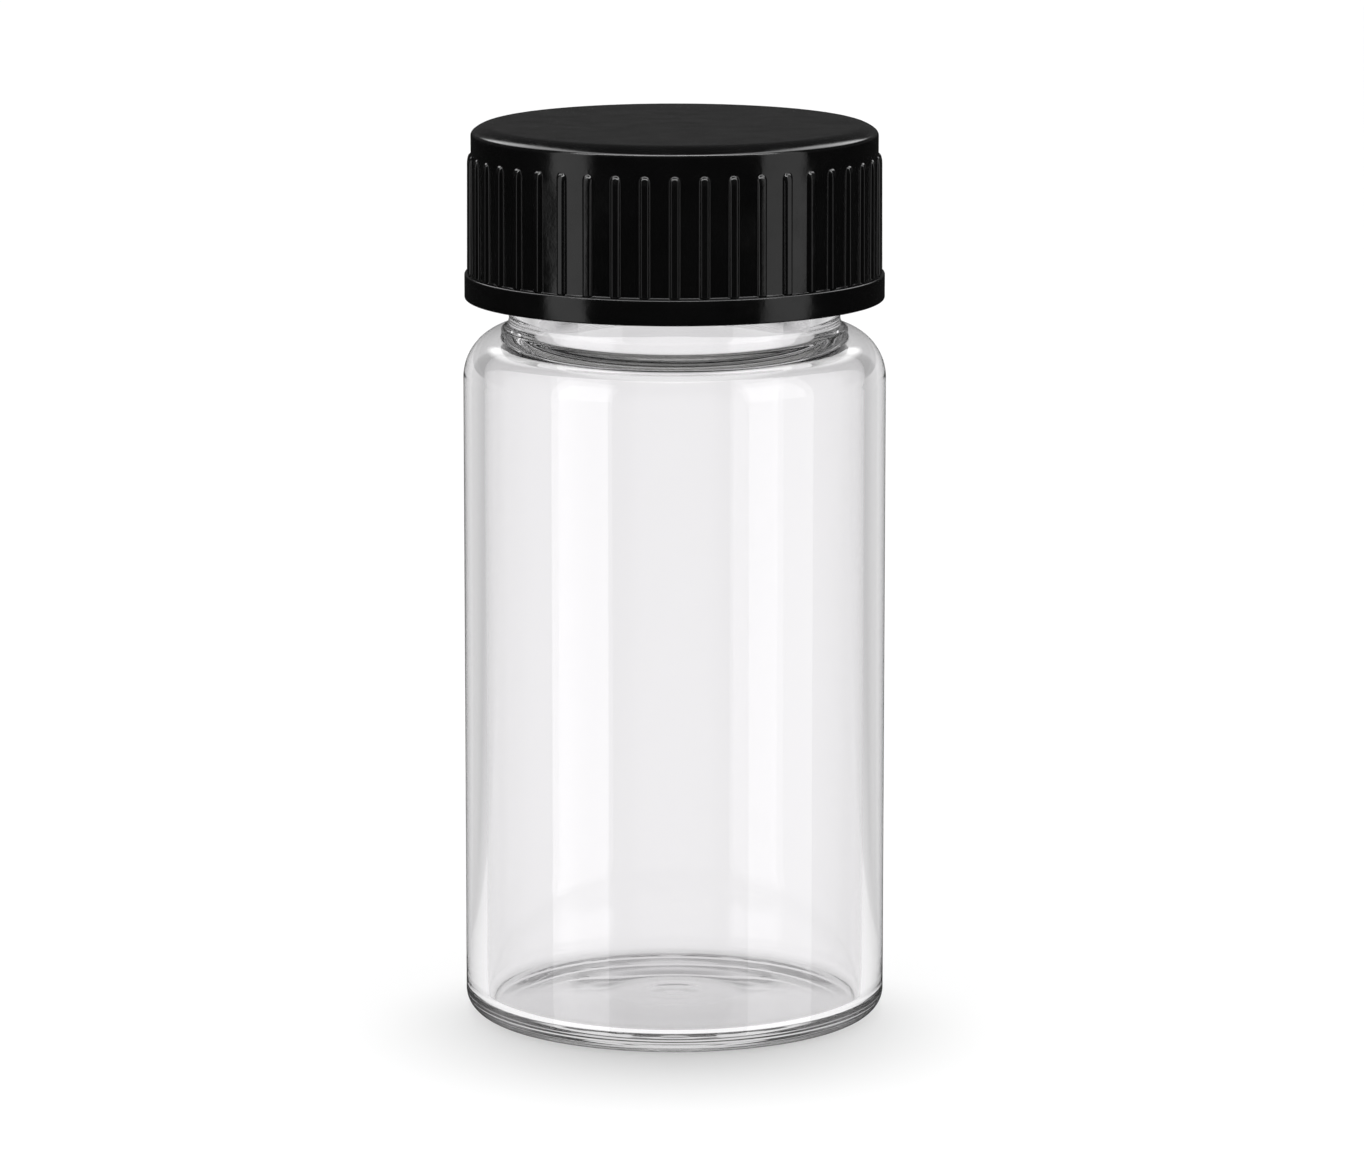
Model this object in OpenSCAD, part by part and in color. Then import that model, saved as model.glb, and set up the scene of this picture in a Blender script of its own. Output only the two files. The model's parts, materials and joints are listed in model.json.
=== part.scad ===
// Screw-cap specimen vial: a round clear glass vial with a 24-400 thread finish,
// closed by a ribbed black plastic cap that holds a three-ply foam liner.
// The origin is at the centre of the foot, on the surface that the vial stands on, with +Z up.
// The cap and the liner are drawn where they are when the vial is closed.

/* [Vial body] */
// Outside diameter of the glass body
vial_d = 28; // [27.6:0.1:28.6]
// Height of the glass, from the foot to the top of the lip
vial_h = 57; // [50:0.5:72]
// Thickness of the body wall
wall_t = 1.4; // [1.1:0.1:1.6]
// Thickness of the floor at its edge
floor_t = 1.2; // [1.1:0.1:2]
// Outer radius of the heel, between the wall and the foot
heel_r = 1.5; // [1:0.1:2]
// Outer radius of the shoulder, between the wall and the neck
shoulder_r = 3.4; // [3.2:0.1:3.6]
// Rise of the hollow under the base, at its centre
push_up = 0.4; // [0.2:0.1:0.6]

/* [Neck finish] */
// Outside diameter of the neck between the thread turns
neck_d = 21.94; // [21.8:0.02:22]
// Inside diameter of the neck
mouth_d = 18; // [17:0.1:18.4]
// Height of the neck, from the top of the shoulder to the top of the lip
neck_h = 10.7; // [10.4:0.1:11]
// Outside diameter over the glass thread
thread_d = 23.7; // [23.6:0.02:23.8]
// Rise of the thread for one turn
pitch = 3.175; // [3.175:0.005:3.2]

/* [Cap] */
// Outside diameter of the smooth wall above the ribs
cap_d = 26.9; // [26.6:0.1:27.2]
// Height of the cap
cap_h = 11.5; // [11.3:0.1:11.8]
// Thickness of the cap's top
cap_top_t = 1.6; // [1.4:0.1:1.8]
// Inside diameter of the cap between the thread turns
cap_bore_d = 24.1; // [24.06:0.02:24.2]
// Outside diameter of the plain band round the cap's foot
band_d = 27.8; // [27.7:0.05:27.9]
// Height of the plain band
band_h = 1.7; // [1.2:0.1:2]
// Number of grip ribs
rib_count = 44; // [30:1:48]
// Half the width of a grip rib
rib_r = 0.28; // [0.2:0.02:0.28]

/* [Liner] */
// Diameter of the liner
liner_d = 23.6; // [23.4:0.1:23.8]
// Thickness of the film that faces the glass
face_film_t = 0.15; // [0.1:0.01:0.2]
// Thickness of the film behind the foam
back_film_t = 0.1; // [0.05:0.01:0.15]

/* [Hidden] */
$fn = 96;

body_r = vial_d / 2;
inner_r = body_r - wall_t;
neck_r = neck_d / 2;
mouth_r = mouth_d / 2;
shoulder_top_z = vial_h - neck_h;

// Small radii of the glass. The inside of the shoulder keeps the wall's thickness all the way up.
floor_corner_r = 0.8;
foot_width = 0.8;
lip_r = 0.55;
root_r = 0.8;

// Both threads run the same number of turns. Each section narrows from its root to its crest.
thread_turns = 1.25;
thread_top_gap = 2.1;
thread_root_half = 1;
thread_crest_half = 0.45;
cap_thread_root_half = 0.95;
cap_thread_crest_half = 0.4;
crest_gap = 0.23;
cap_thread_below = 1.37;
thread_z = vial_h - thread_top_gap - thread_turns * pitch;
cap_thread_z = thread_z - cap_thread_below;

// How a thread is swept: its depth inside the wall, where its ends sink to, and its steps in degrees
thread_embed = 0.4;
end_sink = 0.1;
run_out = 45;
thread_step = 7.5;

// The closed cap, and the space that the liner has between the lip and the inside of the cap's top
liner_space = 1.1;
contact_gap = 0.02;
cap_r = cap_d / 2;
bore_r = cap_bore_d / 2;
cap_ceiling_z = vial_h + liner_space;
cap_top_z = cap_ceiling_z + cap_top_t;
cap_foot_z = cap_top_z - cap_h;
band_top_z = cap_foot_z + band_h;
band_edge_r = 0.2;
bore_chamfer = 0.3;
rib_foot_z = cap_foot_z + band_h / 2;
rib_top_z = cap_top_z - 1.9;
liner_z = vial_h + contact_gap;
foam_t = liner_space - 2 * contact_gap - face_film_t - back_film_t;

// The crown rounds down from the flat top until it slopes at crown_end degrees.
// A tighter edge runs on from there to the wall.
crown_r = 1.8;
crown_end = 50;
cap_edge_r = 0.4;

// Points on an arc of radius r round [x, y], from angle a to angle b
function arc(x, y, r, a, b, steps = 12) =
    [for (i = [0:steps]) [x + r * cos(a + (b - a) * i / steps), y + r * sin(a + (b - a) * i / steps)]];

// 0 to 1 over the run-out at either end of a thread of the given length, in degrees
function fade(angle, length) =
    let (t = min(1, angle / run_out, (length - angle) / run_out))
    t * t * (3 - 2 * t);

// Outside of the glass, from the centre of the base to the top of the lip
function glass_outside() =
    let (foot_outer = body_r - heel_r, foot_inner = foot_outer - foot_width,
         arc_x = body_r - shoulder_r, arc_y = shoulder_top_z - shoulder_r,
         root_x = neck_r + root_r,
         root_a = acos((root_x - arc_x) / (shoulder_r + root_r)),
         root_y = arc_y + (shoulder_r + root_r) * sin(root_a))
    concat(
        [for (i = [0:8]) [foot_inner * i / 8, push_up * (1 - pow(i / 8, 2))]],
        arc(foot_outer, heel_r, heel_r, -90, 0),
        arc(arc_x, arc_y, shoulder_r, 0, root_a, 16),
        arc(root_x, root_y, root_r, 180 + root_a, 180, 6),
        arc(neck_r - lip_r, vial_h - lip_r, lip_r, 0, 90, 6));

// Inside of the glass, from the top of the lip to the centre of the floor
function glass_inside() =
    let (arc_r = shoulder_r - wall_t,
         arc_x = body_r - shoulder_r, arc_y = shoulder_top_z - shoulder_r,
         throat_r = arc_x - mouth_r, throat_y = arc_y + arc_r + throat_r,
         corner_y = floor_t + floor_corner_r)
    concat(
        arc(mouth_r + lip_r, vial_h - lip_r, lip_r, 90, 180, 6),
        arc(arc_x, throat_y, throat_r, 180, 270, 8),
        arc(arc_x, arc_y, arc_r, 90, 0, 12),
        arc(inner_r - floor_corner_r, corner_y, floor_corner_r, 0, -90, 8),
        [[0, floor_t]]);

// Outside of the cap without its ribs, from the centre of its foot to the centre of its top
function cap_outside() =
    let (band_x = band_d / 2 - band_edge_r, edge_x = cap_r - cap_edge_r,
         crown_x = edge_x - (crown_r - cap_edge_r) * cos(crown_end),
         crown_y = cap_top_z - crown_r,
         edge_y = crown_y + (crown_r - cap_edge_r) * sin(crown_end))
    concat(
        [[0, cap_foot_z]],
        arc(band_x, cap_foot_z + band_edge_r, band_edge_r, -90, 0, 4),
        arc(band_x, band_top_z - band_edge_r, band_edge_r, 0, 90, 4),
        [[cap_r, band_top_z]],
        arc(edge_x, edge_y, cap_edge_r, 0, crown_end, 6),
        arc(crown_x, crown_y, crown_r, crown_end, 90, 8),
        [[0, cap_top_z]]);

// Hollow inside the cap, with a chamfer at its mouth
function cap_hollow() =
    [[0, cap_foot_z - 1],
     [bore_r + bore_chamfer + 1, cap_foot_z - 1],
     [bore_r, cap_foot_z + bore_chamfer],
     [bore_r, cap_ceiling_z],
     [0, cap_ceiling_z]];

// Right-hand thread on the cylinder of the given radius, as a sweep of a four-sided section.
// It stands outwards where depth is positive and inwards where depth is negative.
// The middle of its section starts at height z.
module thread(radius, depth, root_half, crest_half, z) {
    side = sign(depth);
    length = thread_turns * 360;
    rings = ceil(length / thread_step);
    root = radius - side * thread_embed;
    root_reach = root_half + (root_half - crest_half) * thread_embed / abs(depth);
    low = radius - side * end_sink;
    order = side > 0 ? [0, 1, 2, 3] : [3, 2, 1, 0];
    function section(crest) =
        [[root, -root_reach], [crest, -crest_half], [crest, crest_half], [root, root_reach]];
    function ring(i) =
        let (angle = length * i / rings,
             corners = section(low + (radius + depth - low) * fade(angle, length)))
        [for (k = order)
            [corners[k][0] * cos(angle), corners[k][0] * sin(angle),
             corners[k][1] + z + pitch * angle / 360]];
    points = [for (i = [0:rings]) each ring(i)];
    last = 4 * rings;
    sides = [for (i = [0:rings - 1]) for (j = [0:3])
        let (a = 4 * i + j, b = 4 * i + (j + 1) % 4)
        each [[a, b, b + 4], [a, b + 4, a + 4]]];
    ends = [[0, 3, 2], [0, 2, 1], [last, last + 1, last + 2], [last, last + 2, last + 3]];
    polyhedron(points, concat(sides, ends));
}

// Clear glass: foot, wall, shoulder, neck, thread and lip in one piece
module glass_vial() {
    color([0.86, 0.9, 0.92, 0.4])
    union() {
        rotate_extrude() polygon(concat(glass_outside(), glass_inside()));
        thread(neck_r, thread_d / 2 - neck_r, thread_root_half, thread_crest_half, thread_z);
    }
}

// Upright half-round ribs round the cap's wall, cut off at 45 degrees at the top
module grip_ribs() {
    slope = 1;
    intersection() {
        translate([0, 0, rib_foot_z])
        linear_extrude(rib_top_z - rib_foot_z + slope)
        union() {
            circle(r = cap_r);
            for (i = [0:rib_count - 1])
                rotate(360 * i / rib_count) translate([cap_r, 0]) circle(r = rib_r, $fn = 24);
        }
        rotate_extrude()
        polygon([[0, cap_foot_z], [cap_r + slope, cap_foot_z], [cap_r + slope, rib_top_z - slope],
                 [cap_r, rib_top_z], [0, rib_top_z]]);
    }
}

// Black moulded cap: top, skirt, grip ribs, plain band and inside thread in one piece
module screw_cap() {
    color([0.03, 0.03, 0.032])
    union() {
        difference() {
            union() {
                rotate_extrude() polygon(cap_outside());
                grip_ribs();
            }
            rotate_extrude() polygon(cap_hollow());
        }
        thread(bore_r, neck_r + crest_gap - bore_r,
               cap_thread_root_half, cap_thread_crest_half, cap_thread_z);
    }
}

// Disc of the liner, at a height above the liner's own underside
module liner_ply(height, thickness) {
    translate([0, 0, liner_z + height]) cylinder(h = thickness, r = liner_d / 2);
}

// Smooth white film that seals against the lip
module liner_face_film() {
    color([0.93, 0.93, 0.91]) liner_ply(0, face_film_t);
}

// Soft foam that is squeezed when the cap is tightened
module liner_foam_core() {
    color([0.88, 0.88, 0.86]) liner_ply(face_film_t, foam_t);
}

// Film that slides on the inside of the cap's top as the cap turns
module liner_back_film() {
    color([0.93, 0.93, 0.91]) liner_ply(face_film_t + foam_t, back_film_t);
}

glass_vial();
screw_cap();
liner_face_film();
liner_foam_core();
liner_back_film();
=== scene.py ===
"""Screw-cap specimen vial: clear glass, a black ribbed cap and a white three-ply liner, on a pale floor."""
import json
from math import acos, cos, degrees, exp, pi, radians, sin, sqrt, tan, tau

import bpy
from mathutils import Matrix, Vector


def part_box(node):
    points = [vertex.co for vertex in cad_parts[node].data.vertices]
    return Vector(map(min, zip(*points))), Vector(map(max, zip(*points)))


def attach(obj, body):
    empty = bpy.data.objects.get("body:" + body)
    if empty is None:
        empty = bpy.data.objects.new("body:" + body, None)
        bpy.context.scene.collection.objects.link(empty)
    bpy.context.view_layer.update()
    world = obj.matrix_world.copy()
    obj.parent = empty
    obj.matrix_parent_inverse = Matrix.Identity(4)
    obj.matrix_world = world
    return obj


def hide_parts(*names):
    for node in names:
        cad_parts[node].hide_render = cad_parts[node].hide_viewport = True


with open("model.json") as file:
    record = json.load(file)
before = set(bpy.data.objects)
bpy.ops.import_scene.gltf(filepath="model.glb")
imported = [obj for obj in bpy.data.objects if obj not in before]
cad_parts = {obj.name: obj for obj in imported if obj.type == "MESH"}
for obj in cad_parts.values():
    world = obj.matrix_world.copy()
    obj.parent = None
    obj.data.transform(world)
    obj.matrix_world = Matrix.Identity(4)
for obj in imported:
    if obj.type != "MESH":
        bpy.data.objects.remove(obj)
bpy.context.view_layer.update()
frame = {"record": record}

MM = 0.001


def in_mm(box):
    """A box's lowest and highest corner, in millimetres."""
    return [corner / MM for corner in box]


# ---------------------------------------------------------------- sizes, in millimetres

vial_high = in_mm(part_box("glass_vial"))[1]
cap_low, cap_high = in_mm(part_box("screw_cap"))
face_box = in_mm(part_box("liner_face_film"))
foam_box = in_mm(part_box("liner_foam_core"))
back_box = in_mm(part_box("liner_back_film"))

BODY_R = vial_high.x
VIAL_H = vial_high.z
WALL = 1.4
INNER_R = BODY_R - WALL
FLOOR = 1.2
FLOOR_CORNER_R = 0.8
HEEL_R = 1.5
FOOT_WIDTH = 0.8
PUSH_UP = 0.4
SHOULDER_R = 3.4
NECK_R = 10.97
NECK_H = 10.7
ROOT_R = 0.8
MOUTH_R = 9.0
LIP_R = 0.55
SHOULDER_TOP = VIAL_H - NECK_H

# Height, radius and width of the rings left in the floor where the base was closed in the flame
FLOOR_RINGS = ((0.022, 0, 0.6), (-0.012, 1.25, 0.4), (0.012, 2.2, 0.45), (-0.04, 4.4, 1.0), (0.045, 7.3, 1.6))

# The lift of the cap for one turn, from the coupling between its two joints
PITCH = frame["record"]["behaviour"]["couplings"][0]["ratio"] * tau / MM
THREAD_TURNS = 1.25
THREAD_DEPTH = 0.88
THREAD_TOP_GAP = 2.1
THREAD_START = VIAL_H - THREAD_TOP_GAP - THREAD_TURNS * PITCH
THREAD_ROOT_HALF = 1.05
THREAD_CREST_HALF = 0.3
THREAD_RUN_OUT = radians(45)

CAP_R = 13.45
CAP_FOOT = cap_low.z
CAP_TOP = cap_high.z
CROWN_R = 1.8
CROWN_END = 50
CAP_EDGE_R = 0.4
BAND_R = cap_high.x
BAND_TOP = CAP_FOOT + 1.7
BAND_EDGE_R = 0.12
BORE_R = 12.05
BORE_EDGE = 0.3
CEILING = back_box[1].z + 0.02
CAP_THREAD_DEPTH = 0.85
CAP_THREAD_DROP = 1.37
CAP_THREAD_START = THREAD_START - CAP_THREAD_DROP
CAP_THREAD_ROOT_HALF = 1.0
CAP_THREAD_CREST_HALF = 0.3

RIBS = 44
RIB_PITCH = tau / RIBS
RIB_HALF = 0.3
RIB_EDGE = 0.14
RIB_TOP = CAP_TOP - 1.9
RIB_NOSE = 0.7
RIB_HEIGHT_TOP = 0.24
RIB_HEIGHT_FOOT = 0.28
PANEL_HOLLOW = 0.018
SAME_RADIUS = 0.01


# ---------------------------------------------------------------- mesh helpers

def arc(x, z, r, start, end, steps):
    """Points on an arc in the (radius, height) plane, with angles in degrees."""
    return [(x + r * cos(radians(start + (end - start) * i / steps)),
             z + r * sin(radians(start + (end - start) * i / steps))) for i in range(steps + 1)]


def line(start, end, steps):
    """Points from start to end, without start."""
    return [(start[0] + (end[0] - start[0]) * i / steps,
             start[1] + (end[1] - start[1]) * i / steps) for i in range(1, steps + 1)]


def even_angles(count):
    return [tau * i / count for i in range(count)]


def clamp(t):
    return min(1.0, max(0.0, t))


def smooth(t):
    """0 to 1 with soft ends."""
    t = clamp(t)
    return t * t * (3 - 2 * t)


def rounded(t):
    """0 to 1 along a quarter of a circle, which is steep at 0 and level at 1."""
    return sqrt(1 - (1 - clamp(t)) ** 2)


def bump(x, middle, width):
    """A bell of height 1."""
    return exp(-((x - middle) / width) ** 2)


def lathe(name, profile, angles, shape=None, closed=False):
    """Turns a profile of (radius, height) about Z. shape(angle, r, z, row) returns the r and z of a point.
    closed joins the profile's last point to its first."""
    verts, rings = [], []
    for row, (r, z) in enumerate(profile):
        if r < 1e-6:
            rings.append([len(verts)])
            verts.append((0.0, 0.0, z * MM))
            continue
        ring = []
        for a in angles:
            rr, zz = shape(a, r, z, row) if shape else (r, z)
            ring.append(len(verts))
            verts.append((rr * cos(a) * MM, rr * sin(a) * MM, zz * MM))
        rings.append(ring)
    pairs = list(zip(rings, rings[1:]))
    if closed:
        pairs.append((rings[-1], rings[0]))
    faces = []
    count = len(angles)
    for low, high in pairs:
        if len(low) == len(high) == 1:
            continue
        for i in range(count):
            j = (i + 1) % count
            if len(low) == 1:
                faces.append((low[0], high[j], high[i]))
            elif len(high) == 1:
                faces.append((low[i], low[j], high[0]))
            else:
                faces.append((low[i], low[j], high[j], high[i]))
    mesh = bpy.data.meshes.new(name)
    mesh.from_pydata(verts, [], faces)
    mesh.polygons.foreach_set("use_smooth", [True] * len(mesh.polygons))
    mesh.update()
    piece = bpy.data.objects.new(name, mesh)
    bpy.context.scene.collection.objects.link(piece)
    return piece


def thread_height(angle, z, start, root_half, crest_half):
    """0 to 1: how far a right-hand thread that starts at angle 0 and height start stands out at a point."""
    angle %= tau
    turns = (z - start) / PITCH - angle / tau
    whole = round(turns)
    along = angle + whole * tau
    length = THREAD_TURNS * tau
    if along < 0 or along > length:
        return 0.0
    off = abs(turns - whole) * PITCH
    section = 1 - smooth((off - crest_half) / (root_half - crest_half))
    return section * smooth(min(along, length - along) / THREAD_RUN_OUT)


# ---------------------------------------------------------------- glass vial

def floor_height(r):
    """The height of the vial's floor, with its rings."""
    return FLOOR + sum(height * bump(r, middle, width) for height, middle, width in FLOOR_RINGS)


def glass_profile():
    """The outside from the centre of the base to the lip, and the inside back down to the floor's centre."""
    foot_outer = BODY_R - HEEL_R
    foot_inner = foot_outer - FOOT_WIDTH
    arc_x = BODY_R - SHOULDER_R
    arc_z = SHOULDER_TOP - SHOULDER_R
    root_x = NECK_R + ROOT_R
    root_a = degrees(acos((root_x - arc_x) / (SHOULDER_R + ROOT_R)))
    root_z = arc_z + (SHOULDER_R + ROOT_R) * sin(radians(root_a))
    steps = 24
    outside = [(foot_inner * i / steps, PUSH_UP * (1 - (i / steps) ** 2)) for i in range(steps + 1)]
    outside += arc(foot_outer, HEEL_R, HEEL_R, -90, 0, 20)
    outside += line(outside[-1], (BODY_R, arc_z), 24)
    outside += arc(arc_x, arc_z, SHOULDER_R, 0, root_a, 36)[1:]
    outside += arc(root_x, root_z, ROOT_R, 180 + root_a, 180, 16)[1:]
    outside += line(outside[-1], (NECK_R, VIAL_H - LIP_R), 64)
    outside += arc(NECK_R - LIP_R, VIAL_H - LIP_R, LIP_R, 0, 90, 10)[1:]

    inner_arc_r = SHOULDER_R - WALL
    throat_r = arc_x - MOUTH_R
    throat_z = arc_z + inner_arc_r + throat_r
    corner_x = INNER_R - FLOOR_CORNER_R
    corner_z = FLOOR + FLOOR_CORNER_R
    inside = arc(MOUTH_R + LIP_R, VIAL_H - LIP_R, LIP_R, 90, 180, 10)
    inside += line(inside[-1], (MOUTH_R, throat_z), 8)
    inside += arc(arc_x, throat_z, throat_r, 180, 270, 18)[1:]
    inside += arc(arc_x, arc_z, inner_arc_r, 90, 0, 36)[1:]
    inside += line(inside[-1], (INNER_R, corner_z), 24)
    inside += arc(corner_x, corner_z, FLOOR_CORNER_R, 0, -90, 14)[1:]
    steps = 52
    inside += [(corner_x * i / steps, floor_height(corner_x * i / steps)) for i in range(steps - 1, -1, -1)]
    return outside, inside


def inner_wave(a, z):
    """How far the inner wall strays from a true cylinder between the floor and the shoulder."""
    low = FLOOR + 2
    high = SHOULDER_TOP - 4
    fade = 6
    ends = smooth((z - low) / fade) * smooth((high - z) / fade)
    return ends * (0.004 * sin(2 * a + 0.4) + 0.002 * sin(5 * a + z / 9))


def glass_vial():
    outside, inside = glass_profile()

    def shape(a, r, z, row):
        if row >= len(outside):
            return r + inner_wave(a, z), z
        if r > NECK_R - SAME_RADIUS and z > SHOULDER_TOP + 0.6:
            r += THREAD_DEPTH * thread_height(a, z, THREAD_START, THREAD_ROOT_HALF, THREAD_CREST_HALF)
        return r, z

    return lathe("vial_glass", outside + inside, even_angles(272), shape)


# ---------------------------------------------------------------- cap

def rib_angles():
    """Angles round the cap, close together on each rib and far apart between two ribs."""
    reach = (RIB_HALF + 0.05) / CAP_R
    foot = reach + 0.05 / CAP_R
    across = 12
    between = 4
    steps = [-reach + 2 * reach * i / across for i in range(across + 1)]
    steps += [foot + (RIB_PITCH - 2 * foot) * i / between for i in range(between + 1)]
    return [k * RIB_PITCH + step for k in range(RIBS) for step in steps]


def rib_height(a, z):
    """How far a rib stands out of the wall: level in the middle, with rounded edges and a round nose."""
    across = ((a + RIB_PITCH / 2) % RIB_PITCH - RIB_PITCH / 2) * CAP_R
    above = max(0.0, z - (RIB_TOP - RIB_HALF))
    inside = RIB_HALF - sqrt(across * across + above * above)
    up = (z - BAND_TOP) / (RIB_TOP - BAND_TOP)
    crest = RIB_HEIGHT_FOOT + (RIB_HEIGHT_TOP - RIB_HEIGHT_FOOT) * up
    return crest * rounded(inside / RIB_EDGE) * rounded((RIB_TOP - z) / RIB_NOSE)


def panel_hollow(a, z):
    """How far the wall between two ribs has sunk as it cooled."""
    across = (a / RIB_PITCH) % 1.0
    ends = smooth((RIB_TOP - z) / 1.2) * smooth((z - BAND_TOP) / 0.8)
    return PANEL_HOLLOW * ends * sin(pi * across) ** 2


def cap_profile():
    """The outside from the foot to the top's centre, and the inside from the ceiling's centre to the foot."""
    edge = BAND_EDGE_R
    outside = arc(BAND_R - edge, CAP_FOOT + edge, edge, -90, 0, 5)
    outside += line(outside[-1], (BAND_R, BAND_TOP - edge), 3)
    outside += arc(BAND_R - edge, BAND_TOP - edge, edge, 0, 90, 5)[1:]
    # Rows close together keep the ledge and the feet of the ribs crisp
    outside += [(CAP_R + 0.06, BAND_TOP)]
    outside += [(CAP_R, BAND_TOP + rise) for rise in (0.06, 0.12, 0.25)]
    outside += line(outside[-1], (CAP_R, RIB_TOP - 1.2), 6)
    outside += line(outside[-1], (CAP_R, RIB_TOP + 0.05), 22)

    edge_x = CAP_R - CAP_EDGE_R
    crown_x = edge_x - (CROWN_R - CAP_EDGE_R) * cos(radians(CROWN_END))
    crown_z = CAP_TOP - CROWN_R
    edge_z = crown_z + (CROWN_R - CAP_EDGE_R) * sin(radians(CROWN_END))
    outside += line(outside[-1], (CAP_R, edge_z), 3)
    outside += arc(edge_x, edge_z, CAP_EDGE_R, 0, CROWN_END, 10)[1:]
    outside += arc(crown_x, crown_z, CROWN_R, CROWN_END, 90, 12)[1:]
    outside += [(crown_x * i / 6, CAP_TOP) for i in (5.9, 5, 3, 1, 0)]

    corner_x = BORE_R - BORE_EDGE
    inside = [(x, CEILING) for x in (0, 3, 8, corner_x)]
    inside += arc(corner_x, CEILING - BORE_EDGE, BORE_EDGE, 90, 0, 4)[1:]
    inside += line(inside[-1], (BORE_R, CAP_FOOT + BORE_EDGE), 36)
    inside += line(inside[-1], (BORE_R + BORE_EDGE, CAP_FOOT), 3)
    inside += line(inside[-1], (BAND_R - edge, CAP_FOOT), 3)[:-1]
    return outside, inside


def screw_cap():
    outside, inside = cap_profile()

    def shape(a, r, z, row):
        if row < len(outside):
            if abs(r - CAP_R) < SAME_RADIUS and BAND_TOP < z < RIB_TOP + 0.1:
                r += rib_height(a, z) - panel_hollow(a, z)
        elif abs(r - BORE_R) < SAME_RADIUS and z < CEILING - 1:
            height = thread_height(a, z, CAP_THREAD_START, CAP_THREAD_ROOT_HALF, CAP_THREAD_CREST_HALF)
            r -= CAP_THREAD_DEPTH * height
        return r, z

    return lathe("cap_shell", outside + inside, rib_angles(), shape, closed=True)


# ---------------------------------------------------------------- liner

def disc(name, box, bulge, dent=0.0):
    """A ply of the liner, with a rounded rim. dent is the depth of the ring that the lip has pressed in."""
    low, high = box
    r = high.x
    half = (high.z - low.z) / 2
    middle = (high.z + low.z) / 2
    ring_r = (MOUTH_R + NECK_R) / 2
    under = [(r * i / 40, low.z + dent * bump(r * i / 40, ring_r, 0.6)) for i in range(38)]
    rim = [(r - bulge + bulge * cos(radians(t)), middle + half * sin(radians(t))) for t in range(-90, 91, 15)]
    top = [(r * i / 8, high.z) for i in (7, 5, 3, 1, 0)]
    return lathe(name, under + rim + top, even_angles(192))


# ---------------------------------------------------------------- node helpers

def connect(tree, value, socket):
    """Links a socket to another, or sets it to a number."""
    if isinstance(value, (int, float)):
        socket.default_value = value
    else:
        tree.links.new(value, socket)


def maths(tree, operation, *values):
    """A math node of some sockets and numbers."""
    node = tree.nodes.new("ShaderNodeMath")
    node.operation = operation
    for value, socket in zip(values, node.inputs):
        connect(tree, value, socket)
    return node.outputs[0]


def choose(tree, factor, a, b):
    """a where factor is 0 and b where it is 1."""
    node = tree.nodes.new("ShaderNodeMix")
    node.data_type = "FLOAT"
    tree.links.new(factor, node.inputs[0])
    connect(tree, a, node.inputs[2])
    connect(tree, b, node.inputs[3])
    return node.outputs[0]


def spread(tree, value, start, end, low, high, kind="SMOOTHSTEP"):
    """Goes from low to high as value goes from start to end."""
    node = tree.nodes.new("ShaderNodeMapRange")
    node.interpolation_type = kind
    for key, number in (("From Min", start), ("From Max", end), ("To Min", low), ("To Max", high)):
        node.inputs[key].default_value = number
    tree.links.new(value, node.inputs["Value"])
    return node.outputs["Result"]


class Nodes:
    """A short way to build a material's node tree."""

    def __init__(self, name):
        self.mat = bpy.data.materials.new(name)
        self.mat.use_nodes = True
        self.tree = self.mat.node_tree
        self.tree.nodes.clear()
        self.out = self.add("ShaderNodeOutputMaterial")
        self.place = self.add("ShaderNodeTexCoord").outputs["Object"]

    def add(self, kind, **inputs):
        node = self.tree.nodes.new(kind)
        for key, value in inputs.items():
            node.inputs[key.replace("_", " ")].default_value = value
        return node

    def link(self, source, target):
        self.tree.links.new(source, target)

    def noise(self, scale, detail=4.0, roughness=0.5):
        node = self.add("ShaderNodeTexNoise", Scale=scale, Detail=detail, Roughness=roughness)
        self.link(self.place, node.inputs["Vector"])
        return node.outputs["Fac"]

    def varied(self, value, low, high):
        """A number from low to high over the middle part of a noise's range."""
        return spread(self.tree, value, 0.3, 0.7, low, high, "LINEAR")

    def between(self, value, dark, light):
        """A colour between two colours."""
        node = self.tree.nodes.new("ShaderNodeMix")
        node.data_type = "RGBA"
        node.inputs[6].default_value = (*dark, 1)
        node.inputs[7].default_value = (*light, 1)
        self.link(value, node.inputs[0])
        return node.outputs[2]

    def bumped(self, height, distance):
        node = self.add("ShaderNodeBump", Strength=1.0, Distance=distance)
        self.link(height, node.inputs["Height"])
        return node.outputs["Normal"]

    def mixed(self, factor, first, second):
        """A shader that is first where factor is 0 and second where it is 1."""
        node = self.tree.nodes.new("ShaderNodeMixShader")
        self.link(factor, node.inputs[0])
        self.link(first, node.inputs[1])
        self.link(second, node.inputs[2])
        return node.outputs[0]

    def finished(self, shader):
        self.link(shader, self.out.inputs["Surface"])
        return self.mat


# ---------------------------------------------------------------- materials

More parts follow.
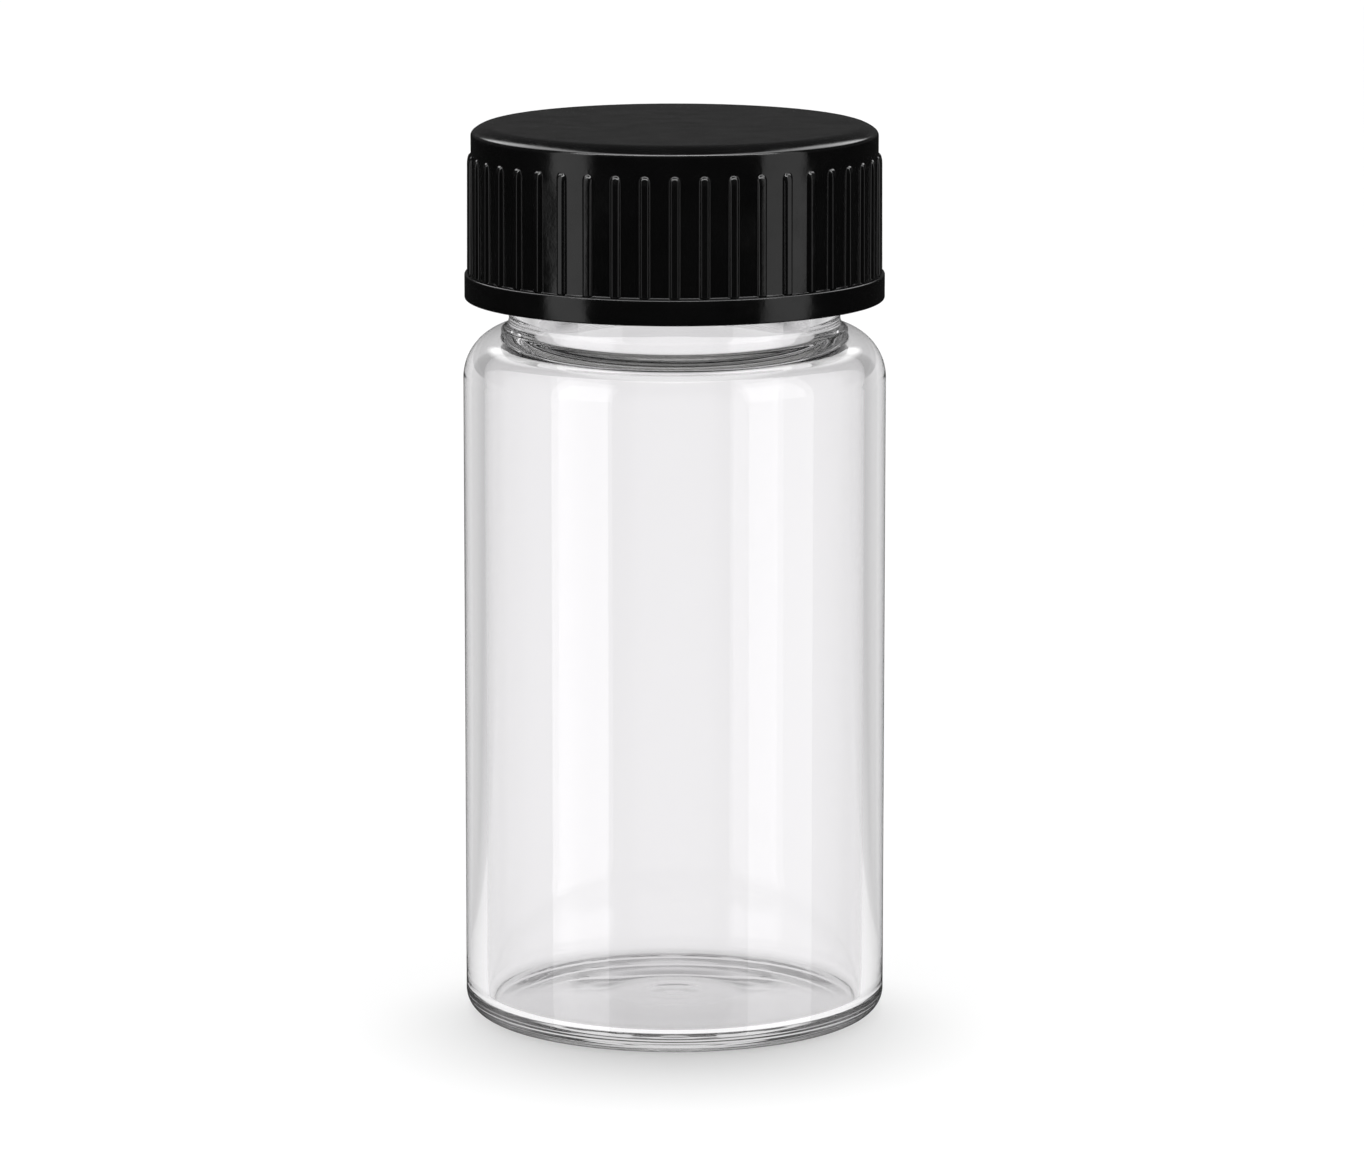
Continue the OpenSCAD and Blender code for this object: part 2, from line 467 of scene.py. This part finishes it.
def glass_material():
    """Clear glass with the faint draw lines of tubing. Lamps and soft fill light reach through it."""
    n = Nodes("clear_glass")
    glass = n.add("ShaderNodeBsdfPrincipled", IOR=1.5, Roughness=0.0)
    glass.inputs["Transmission Weight"].default_value = 1.0
    glass.inputs["Base Color"].default_value = (0.946, 0.94, 0.948, 1)
    stretch = n.tree.nodes.new("ShaderNodeMapping")
    stretch.inputs["Scale"].default_value = (1, 1, 0.12)
    n.link(n.place, stretch.inputs["Vector"])
    wave = n.add("ShaderNodeTexNoise", Scale=90.0, Detail=2.0)
    n.link(stretch.outputs["Vector"], wave.inputs["Vector"])
    n.link(n.bumped(wave.outputs["Fac"], 0.00002), glass.inputs["Normal"])
    clear = n.add("ShaderNodeBsdfTransparent")
    clear.inputs["Color"].default_value = (0.895, 0.895, 0.895, 1)
    path = n.add("ShaderNodeLightPath")
    lit_through = maths(n.tree, "MAXIMUM", path.outputs["Is Shadow Ray"], path.outputs["Is Diffuse Ray"])
    return n.finished(n.mixed(lit_through, glass.outputs[0], clear.outputs[0]))


def cap_material():
    """Black moulded plastic, with a fine spark-eroded grain, slow ripples of shrinkage and a little wear."""
    roughness = 0.15
    grain = 0.08
    n = Nodes("black_plastic")
    plastic = n.add("ShaderNodeBsdfPrincipled", IOR=1.5)
    plastic.inputs["Specular IOR Level"].default_value = 0.45
    cloud = n.noise(260.0, 5.0)
    n.link(n.between(cloud, (0.0008, 0.0008, 0.0008), (0.0022, 0.0022, 0.0023)), plastic.inputs["Base Color"])
    n.link(n.varied(n.noise(420.0, 6.0, 0.6), roughness * 0.6, roughness * 1.5), plastic.inputs["Roughness"])
    height = maths(n.tree, "MULTIPLY_ADD", n.noise(900.0, 2.0), 0.3, n.noise(140.0, 2.0))
    height = maths(n.tree, "MULTIPLY_ADD", n.noise(5200.0, 2.0), grain, height)
    n.link(n.bumped(height, 0.00003), plastic.inputs["Normal"])
    return n.finished(plastic.outputs[0])


def film_material():
    """White polymer film, smooth and slightly wavy."""
    n = Nodes("white_film")
    film = n.add("ShaderNodeBsdfPrincipled", IOR=1.45)
    n.link(n.between(n.noise(300.0), (0.80, 0.80, 0.77), (0.88, 0.88, 0.86)), film.inputs["Base Color"])
    n.link(n.varied(n.noise(700.0), 0.22, 0.38), film.inputs["Roughness"])
    n.link(n.bumped(n.noise(380.0, 3.0), 0.00003), film.inputs["Normal"])
    return n.finished(film.outputs[0])


def foam_material():
    """White closed-cell foam."""
    n = Nodes("white_foam")
    foam = n.add("ShaderNodeBsdfPrincipled", IOR=1.4)
    cells = n.add("ShaderNodeTexVoronoi", Scale=6500.0)
    n.link(n.place, cells.inputs["Vector"])
    distance = cells.outputs["Distance"]
    n.link(n.between(distance, (0.70, 0.70, 0.67), (0.86, 0.86, 0.83)), foam.inputs["Base Color"])
    n.link(n.varied(n.noise(900.0), 0.6, 0.85), foam.inputs["Roughness"])
    n.link(n.bumped(distance, 0.00006), foam.inputs["Normal"])
    return n.finished(foam.outputs[0])


# ---------------------------------------------------------------- studio, in metres

OBJECT_MIDDLE = 0.03
CAP_MIDDLE = 0.05
LAMP_DISTANCE = 0.9

# The elevations of the strips' two ends, in degrees
STRIP_LOW = -30
STRIP_HIGH = 38

FLOOR_SIZE = 12.0
# How brightly, and how much, the floor seen through the glass glows: painted light
FLOOR_GLOW = 0.97
FLOOR_GLOW_SHARE = 0.45

# The four numbers below, in order: how far aside of the middle light from the glass wall sets out on its way
# to the floor; how brightly the floor glows with painted light and shade where that light meets it; how much
# less bright that is when the light has mirrored in the wall many times; and levels that pair how far a
# direction lies from an axis, with 1 for a diagonal, with how light it is there.
SHADE_START = 0.011
PAINTED_BAND_LIGHT = 1.18
PAINTED_BAND_LOSS = 1.05
DIAGONAL_SHADE_LEVELS = ((0.0, 1.0), (0.41, 0.94), (0.47, 0.68), (0.85, 0.36), (1.0, 0.3))


def diagonal_shade_levels(tree, place, start):
    """How light the room is round the object, as seen by light that runs along inside the glass wall.
    It is darker at the four diagonals, which draws the wall as a grey band: painted shade where it colours
    the floor, and the room's own light where it sets the room. start is how far to the side of the middle
    that light sets out."""
    split = tree.nodes.new("ShaderNodeSeparateXYZ")
    tree.links.new(place, split.inputs[0])
    x = maths(tree, "ABSOLUTE", split.outputs["X"])
    y = maths(tree, "ABSOLUTE", split.outputs["Y"])
    aside = maths(tree, "SUBTRACT", maths(tree, "MINIMUM", x, y), start)
    slant = maths(tree, "DIVIDE", aside, maths(tree, "MAXIMUM", x, y))
    ramp = tree.nodes.new("ShaderNodeValToRGB")
    stops = ramp.color_ramp.elements
    stops[0].position = DIAGONAL_SHADE_LEVELS[0][0]
    stops[1].position = DIAGONAL_SHADE_LEVELS[-1][0]
    for position, _ in DIAGONAL_SHADE_LEVELS[1:-1]:
        stops.new(position)
    for stop, (_, level) in zip(stops, DIAGONAL_SHADE_LEVELS):
        stop.color = (level, level, level, 1)
    tree.links.new(slant, ramp.inputs[0])
    return ramp.outputs[0]


def floor_material():
    """Pale paper. Mirrored rays look past it. Light from inside the glass wall sees painted light and shade
    on it, darker at the four diagonals. Light that has come through the glass sees it glow a little, which is
    painted light that keeps the floor seen through the glass bright."""
    n = Nodes("floor_paper")
    path = n.add("ShaderNodeLightPath")
    mirrored = maths(n.tree, "GREATER_THAN", path.outputs["Glossy Depth"], 0.5)
    mirrored_often = maths(n.tree, "GREATER_THAN", path.outputs["Glossy Depth"], 3.5)
    out_of_wall = maths(n.tree, "COMPARE", path.outputs["Transmission Depth"], 2, 0.5)
    through_glass = maths(n.tree, "GREATER_THAN", path.outputs["Transmission Depth"], 1.5)

    paper = n.add("ShaderNodeBsdfDiffuse")
    n.link(n.between(n.noise(40.0), (0.895, 0.895, 0.895), (0.905, 0.905, 0.905)), paper.inputs["Color"])
    # Painted light and shade: the floor glows for light that comes out of the glass wall, darker at the four
    # diagonals
    diagonal_shading = n.add("ShaderNodeEmission")
    n.link(diagonal_shade_levels(n.tree, n.place, SHADE_START), diagonal_shading.inputs["Color"])
    n.link(maths(n.tree, "MULTIPLY_ADD", mirrored_often, -PAINTED_BAND_LOSS, PAINTED_BAND_LIGHT), diagonal_shading.inputs["Strength"])
    # Painted light: the floor glows a little where it is seen through the glass
    glow = n.add("ShaderNodeEmission", Strength=FLOOR_GLOW)
    nothing = n.add("ShaderNodeBsdfTransparent")

    surface = n.mixed(maths(n.tree, "MULTIPLY", mirrored, out_of_wall), paper.outputs[0], diagonal_shading.outputs[0])
    surface = n.mixed(maths(n.tree, "MULTIPLY", through_glass, FLOOR_GLOW_SHARE), surface, glow.outputs[0])
    elsewhere = maths(n.tree, "SUBTRACT", 1, out_of_wall)
    surface = n.mixed(maths(n.tree, "MULTIPLY", mirrored, elsewhere), surface, nothing.outputs[0])
    return n.finished(surface)


def studio_floor():
    corners = [(-FLOOR_SIZE, -FLOOR_SIZE, 0), (FLOOR_SIZE, -FLOOR_SIZE, 0),
               (FLOOR_SIZE, FLOOR_SIZE, 0), (-FLOOR_SIZE, FLOOR_SIZE, 0)]
    mesh = bpy.data.meshes.new("studio_floor")
    mesh.from_pydata(corners, [], [(0, 1, 2, 3)])
    floor = bpy.data.objects.new("studio_floor", mesh)
    bpy.context.scene.collection.objects.link(floor)
    mesh.materials.append(floor_material())


def soft_light(name, width, height, radiance, location, target):
    """A rectangular soft light that faces a point and stays out of the picture."""
    data = bpy.data.lights.new(name, "AREA")
    data.shape = "RECTANGLE"
    data.size = width
    data.size_y = height
    data.energy = radiance * pi * width * height
    light = bpy.data.objects.new(name, data)
    light.location = location
    light.rotation_euler = (Vector(target) - light.location).to_track_quat("-Z", "Y").to_euler()
    light.visible_camera = False
    bpy.context.scene.collection.objects.link(light)
    return light


def strip_light(name, azimuth, width_deg, radiance):
    """An upright strip at an azimuth from the camera's direction, positive to the right."""
    a = radians(azimuth)
    low = tan(radians(STRIP_LOW))
    high = tan(radians(STRIP_HIGH))
    width = 2 * LAMP_DISTANCE * tan(radians(width_deg / 2))
    height = LAMP_DISTANCE * (high - low)
    middle = LAMP_DISTANCE * (high + low) / 2 + OBJECT_MIDDLE
    place = (LAMP_DISTANCE * sin(a), -LAMP_DISTANCE * cos(a), middle)
    return soft_light(name, width, height, radiance, place, (0, 0, middle))


def high_light(elevation, width, depth, radiance):
    """A wide light in front of the object and high up, which draws the line along the cap's edge."""
    a = radians(elevation)
    place = (0, -LAMP_DISTANCE * cos(a), LAMP_DISTANCE * sin(a))
    return soft_light("cap_light_high", width, depth, radiance, place, (0, 0, CAP_MIDDLE))


def lights_only(light, piece, state="INCLUDE"):
    """Lets a light reach one piece only, or every piece but that one when state is EXCLUDE."""
    group = bpy.data.collections.new(light.name + "_pieces")
    group.objects.link(piece)
    light.light_linking.receiver_collection = group
    group.collection_objects[0].light_linking.link_state = state


def overhead_light(strength, angle_deg, tilt_deg):
    """A round soft light over the object, a little behind it, which makes the shadow and no highlights."""
    data = bpy.data.lights.new("overhead_soft_light", "SUN")
    data.energy = strength
    data.angle = radians(angle_deg)
    light = bpy.data.objects.new("overhead_soft_light", data)
    light.rotation_euler = (-radians(tilt_deg), 0, 0)
    light.location = (0, 0.2, 1.0)
    light.visible_glossy = False
    light.visible_transmission = False
    bpy.context.scene.collection.objects.link(light)


def room():
    """A white room. It is dark where the object mirrors it, apart from a bright bank high up."""
    fill = 0.86
    bank_level = 5.0
    backdrop = 1.0
    world = bpy.data.worlds.new("studio_room")
    world.use_nodes = True
    tree = world.node_tree
    tree.nodes.clear()
    path = tree.nodes.new("ShaderNodeLightPath")
    place = tree.nodes.new("ShaderNodeTexCoord").outputs["Generated"]
    split = tree.nodes.new("ShaderNodeSeparateXYZ")
    tree.links.new(place, split.inputs[0])
    x, y, z = split.outputs

    # The bank runs along the front and both sides, ends short of overhead and reaches lower towards the back
    front = spread(tree, maths(tree, "MULTIPLY", y, -1), 0.0, 0.1, 0.0, 1.0)
    sides = spread(tree, maths(tree, "ABSOLUTE", x), 0.38, 0.48, 0.0, 1.0)
    reach = maths(tree, "MULTIPLY_ADD", maths(tree, "MAXIMUM", y, 0.0), 0.5, z)
    bank = maths(tree, "MULTIPLY", maths(tree, "MAXIMUM", sides, front),
                 spread(tree, reach, 0.7, 0.8, 0.0, bank_level))
    bank = maths(tree, "MULTIPLY", bank, spread(tree, z, 0.88, 0.94, 1.0, 0.0))
    in_mirror = maths(tree, "ADD", spread(tree, z, -0.02, 0.06, 0.02, 0.08), bank)

    # Light that leaves the glass wall after mirroring in it, by height, and darker at the four diagonals
    diagonal_shading = maths(tree, "MAXIMUM", diagonal_shade_levels(tree, place, 0.0), 0.6)
    heights = maths(tree, "ADD", spread(tree, z, 0.3, 0.6, 1.0, 0.4), spread(tree, z, 0.75, 0.92, 0.0, 0.5))
    trapped = maths(tree, "MULTIPLY", diagonal_shading, heights)
    mirrored = maths(tree, "GREATER_THAN", path.outputs["Glossy Depth"], 0.5)
    through_glass = choose(tree, mirrored, spread(tree, z, 0.35, 0.7, 0.97, 0.05), trapped)

    # A ray that goes through smooth glass counts as a glossy ray too, so transmission comes after gloss
    level = choose(tree, path.outputs["Is Glossy Ray"], fill, in_mirror)
    level = choose(tree, path.outputs["Is Transmission Ray"], level, through_glass)
    level = choose(tree, path.outputs["Is Camera Ray"], level, backdrop)
    shade = tree.nodes.new("ShaderNodeBackground")
    tree.links.new(level, shade.inputs["Strength"])
    out = tree.nodes.new("ShaderNodeOutputWorld")
    tree.links.new(shade.outputs[0], out.inputs["Surface"])
    world.cycles.sampling_method = "NONE"
    bpy.context.scene.world = world


def camera():
    """A long lens a little above the vial, looking down on it."""
    distance = 0.45
    height = 0.1107
    pitch = radians(10.24)
    data = bpy.data.cameras.new("camera")
    data.lens = 181.1
    data.sensor_width = 36
    data.shift_x = 0.0054
    data.clip_start = 0.02
    data.clip_end = 30
    eye = bpy.data.objects.new("camera", data)
    eye.location = (0, -distance, height)
    eye.rotation_euler = (pi / 2 - pitch, 0, 0)
    bpy.context.scene.collection.objects.link(eye)
    bpy.context.scene.camera = eye


def settings():
    """Plain colours, and enough bounces for light to leave the glass wall."""
    scene = bpy.context.scene
    scene.view_settings.view_transform = "Standard"
    cycles = scene.cycles
    cycles.max_bounces = 64
    cycles.transmission_bounces = 48
    cycles.glossy_bounces = 48
    cycles.diffuse_bounces = 3
    cycles.transparent_max_bounces = 32
    cycles.caustics_reflective = False
    cycles.caustics_refractive = False
    cycles.use_denoising = True


# ---------------------------------------------------------------- the scene and the object

camera()
settings()
room()
studio_floor()
overhead_light(strength=1.3, angle_deg=18, tilt_deg=8)
strips = [strip_light("strip_light_left", -53, 34, 1.3),
          strip_light("strip_light_right", 60.5, 40, 1.3)]
cap_lights = [strip_light("cap_light_left", -61, 24, 1.1),
              strip_light("cap_light_right", 64, 28, 1.0),
              high_light(elevation=55, width=2.0, depth=0.16, radiance=10.0)]

vial = glass_vial()
vial.data.materials.append(glass_material())
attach(vial, "vial")
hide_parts("glass_vial")

cap = screw_cap()
cap.data.materials.append(cap_material())
for light in strips:
    lights_only(light, cap, "EXCLUDE")
for light in cap_lights:
    lights_only(light, cap)
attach(cap, "cap")
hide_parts("screw_cap")

film = film_material()
for name, node, box, dent in (("liner_face", "liner_face_film", face_box, 0.05),
                              ("liner_back", "liner_back_film", back_box, 0.0)):
    ply = disc(name, box, 0.03, dent)
    ply.data.materials.append(film)
    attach(ply, "liner")
    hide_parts(node)

foam = disc("liner_foam", foam_box, 0.12)
foam.data.materials.append(foam_material())
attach(foam, "liner")
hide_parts("liner_foam_core")
